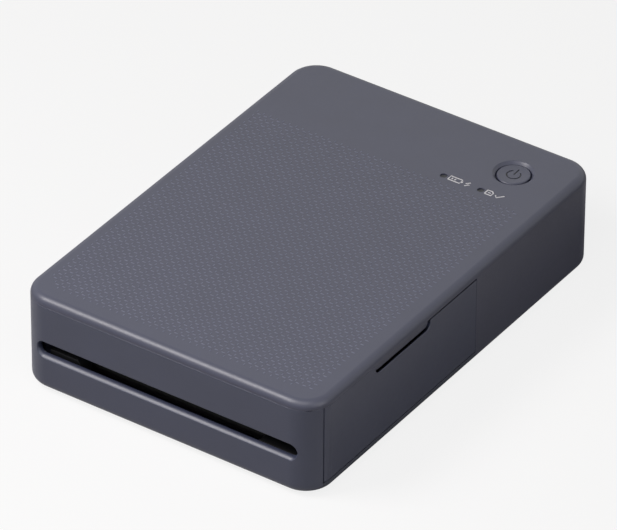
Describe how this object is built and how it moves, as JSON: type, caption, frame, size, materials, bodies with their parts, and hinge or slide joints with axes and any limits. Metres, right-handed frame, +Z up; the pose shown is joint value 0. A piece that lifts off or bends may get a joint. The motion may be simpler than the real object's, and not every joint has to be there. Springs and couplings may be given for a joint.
{
  "type": "compact photo printer",
  "caption": "Flat card-size photo printer with a front paper slot, a side ink door, a paper cover underneath, one power button and a dye-transfer mechanism inside.",
  "frame": {"origin": "centre of the footprint, on the plane that the feet stand on", "axes": "+X to the right seen from the paper slot, +Y to the back, +Z up"},
  "size_m": [0.1022, 0.1458, 0.0329],
  "materials": {
    "case_upper": "fine matte moulded plastic, blue-grey",
    "case_front": "fine matte moulded plastic, blue-grey",
    "case_side": "fine matte moulded plastic, blue-grey",
    "case_under": "fine matte moulded plastic",
    "inner_plastic": "dark moulded plastic",
    "gear_plastic": "natural white engineering plastic",
    "rubber": "matte black rubber",
    "steel_sheet": "plated sheet steel",
    "steel_pin": "ground steel",
    "brass": "turned brass",
    "aluminium": "extruded",
    "ceramic": "glazed ceramic, held as gloss plastic",
    "lens_dark": "dark tinted lens",
    "led": "clear epoxy",
    "board_green": "solder mask",
    "chip_black": "moulded epoxy",
    "battery_wrap": "shrink film",
    "film": "dye ribbon",
    "flex_amber": "polyimide film"
  },
  "bodies": {
    "case": {"top_cover": "case_upper", "front_panel": "case_front", "base_tray": "case_under", "rubber_feet": "rubber", "case_screws": "steel_pin", "door_hinge_pins": "steel_pin", "cover_hinge_pins": "steel_pin", "exit_guides": "inner_plastic", "power_switch": "chip_black", "lamp_lenses": "lens_dark", "status_leds": "led", "frame_left": "steel_sheet", "frame_right": "steel_sheet", "frame_screws": "steel_pin", "tie_rods": "steel_pin", "path_plate": "inner_plastic", "turn_guide": "inner_plastic", "roller_bushes": "gear_plastic", "transfer_belt": "rubber", "feed_motor": "steel_sheet", "gear_axles": "steel_pin", "head_pivot_shaft": "steel_pin", "board_cable": "flex_amber", "lift_motor": "steel_sheet", "ribbon_motor": "steel_sheet", "eject_pivot": "steel_pin", "main_board": "board_green", "board_chips": "chip_black", "usb_socket": "steel_sheet", "battery_pack": "battery_wrap", "board_screws": "steel_pin", "button_spring": "steel_pin"},
    "ink_door": {"ink_door": "case_side"},
    "paper_cover": {"paper_cover": "case_under", "lift_plate_spring": "steel_pin"},
    "lift_plate": {"lift_plate": "steel_sheet"},
    "power_button": {"power_button": "case_upper"},
    "feed_roller": {"feed_roller": "steel_pin", "feed_gear": "gear_plastic"},
    "pinch_roller": {"pinch_roller": "rubber"},
    "platen_roller": {"platen_roller": "rubber"},
    "pickup_roller": {"pickup_roller": "rubber"},
    "feed_pinion": {"feed_pinion": "brass"},
    "reduction_gear": {"reduction_gear": "gear_plastic"},
    "head": {"head_arm": "steel_sheet", "heat_sink": "aluminium", "thermal_head": "ceramic", "head_springs": "steel_pin", "head_cable": "flex_amber"},
    "lift_pinion": {"lift_pinion": "brass"},
    "ribbon_pinion": {"ribbon_pinion": "brass"},
    "ribbon_idler": {"ribbon_idler": "gear_plastic"},
    "takeup_gear": {"takeup_gear": "gear_plastic"},
    "cassette": {"cassette_shell": "inner_plastic", "ribbon_film": "film"},
    "takeup_spool": {"takeup_spool": "inner_plastic"},
    "supply_spool": {"supply_spool": "inner_plastic"},
    "eject_lever": {"eject_lever": "steel_sheet"}
  },
  "joints": [
    {"name": "door_swing", "type": "hinge", "parent": "case", "child": "ink_door", "pos_m": [0.0491, 0, 0.0064], "axis": [0, 1, 0], "range_deg": [0, 90]},
    {"name": "cover_swing", "type": "hinge", "parent": "case", "child": "paper_cover", "pos_m": [0, 0.0463, 0.0023], "axis": [1, 0, 0], "range_deg": [0, 90]},
    {"name": "lift_plate_tilt", "type": "hinge", "parent": "paper_cover", "child": "lift_plate", "pos_m": [0, -0.038, 0.0037], "axis": [1, 0, 0], "range_deg": [-1.6, 0], "stiffness_Nm_per_rad": 0.2, "springref_deg": 8.59, "deforming": ["lift_plate_spring"]},
    {"name": "button_press", "type": "slide", "parent": "case", "child": "power_button", "axis": [0, 0, -1], "range_m": [0, 0.0004], "stiffness_N_per_m": 800, "springref_m": -0.001, "deforming": ["button_spring"]},
    {"name": "feed_spin", "type": "hinge", "parent": "case", "child": "feed_roller", "pos_m": [0, -0.0575, 0.01167], "axis": [1, 0, 0], "continuous": true},
    {"name": "pinch_spin", "type": "hinge", "parent": "case", "child": "pinch_roller", "pos_m": [0, -0.0575, 0.01713], "axis": [1, 0, 0], "continuous": true},
    {"name": "pickup_spin", "type": "hinge", "parent": "case", "child": "pickup_roller", "pos_m": [0, 0.036, 0.0097], "axis": [1, 0, 0], "continuous": true},
    {"name": "reduction_spin", "type": "hinge", "parent": "case", "child": "reduction_gear", "pos_m": [0, -0.05151, 0.01771], "axis": [1, 0, 0], "continuous": true},
    {"name": "feed_motor_spin", "type": "hinge", "parent": "case", "child": "feed_pinion", "pos_m": [0, -0.0565, 0.0252], "axis": [1, 0, 0], "continuous": true},
    {"name": "platen_spin", "type": "hinge", "parent": "case", "child": "platen_roller", "pos_m": [0, -0.023, 0.01068], "axis": [1, 0, 0], "continuous": true},
    {"name": "head_swing", "type": "hinge", "parent": "case", "child": "head", "pos_m": [0, 0.018, 0.0265], "axis": [1, 0, 0], "range_deg": [0, 2.44]},
    {"name": "lift_motor_spin", "type": "hinge", "parent": "case", "child": "lift_pinion", "pos_m": [0, 0.03, 0.0265], "axis": [1, 0, 0], "range_deg": [-7.5, 0]},
    {"name": "takeup_drive_spin", "type": "hinge", "parent": "case", "child": "takeup_gear", "pos_m": [0, -0.004, 0.0219], "axis": [1, 0, 0], "continuous": true},
    {"name": "ribbon_idler_spin", "type": "hinge", "parent": "case", "child": "ribbon_idler", "pos_m": [0, 0.0055, 0.0219], "axis": [1, 0, 0], "continuous": true},
    {"name": "ribbon_motor_spin", "type": "hinge", "parent": "case", "child": "ribbon_pinion", "pos_m": [0, 0.012, 0.0219], "axis": [1, 0, 0], "continuous": true},
    {"name": "takeup_spool_spin", "type": "hinge", "parent": "cassette", "child": "takeup_spool", "pos_m": [0, -0.004, 0.0219], "axis": [1, 0, 0], "continuous": true},
    {"name": "supply_spool_spin", "type": "hinge", "parent": "cassette", "child": "supply_spool", "pos_m": [0, -0.042, 0.0219], "axis": [1, 0, 0], "continuous": true},
    {"name": "eject_swing", "type": "hinge", "parent": "case", "child": "eject_lever", "pos_m": [0.0454, 0.0062, 0], "axis": [0, 0, 1], "range_deg": [0, 18]},
    {"name": "cassette_slide", "type": "slide", "parent": "case", "child": "cassette", "axis": [1, 0, 0], "range_m": [0, 0.00235]}
  ],
  "couplings": [
    {"joint": "reduction_spin", "follows": "feed_spin", "ratio": -2.4},
    {"joint": "feed_motor_spin", "follows": "feed_spin", "ratio": 6.24},
    {"joint": "pinch_spin", "follows": "feed_spin", "ratio": -1.3636},
    {"joint": "pickup_spin", "follows": "feed_spin", "ratio": 1},
    {"joint": "lift_motor_spin", "follows": "head_swing", "ratio": -3},
    {"joint": "ribbon_idler_spin", "follows": "takeup_drive_spin", "ratio": -1.375},
    {"joint": "ribbon_motor_spin", "follows": "takeup_drive_spin", "ratio": 2.2},
    {"joint": "takeup_spool_spin", "follows": "takeup_drive_spin", "ratio": 1},
    {"joint": "supply_spool_spin", "follows": "takeup_drive_spin", "ratio": 1},
    {"joint": "eject_swing", "follows": "cassette_slide", "rad_per_m": 133.3}
  ]
}
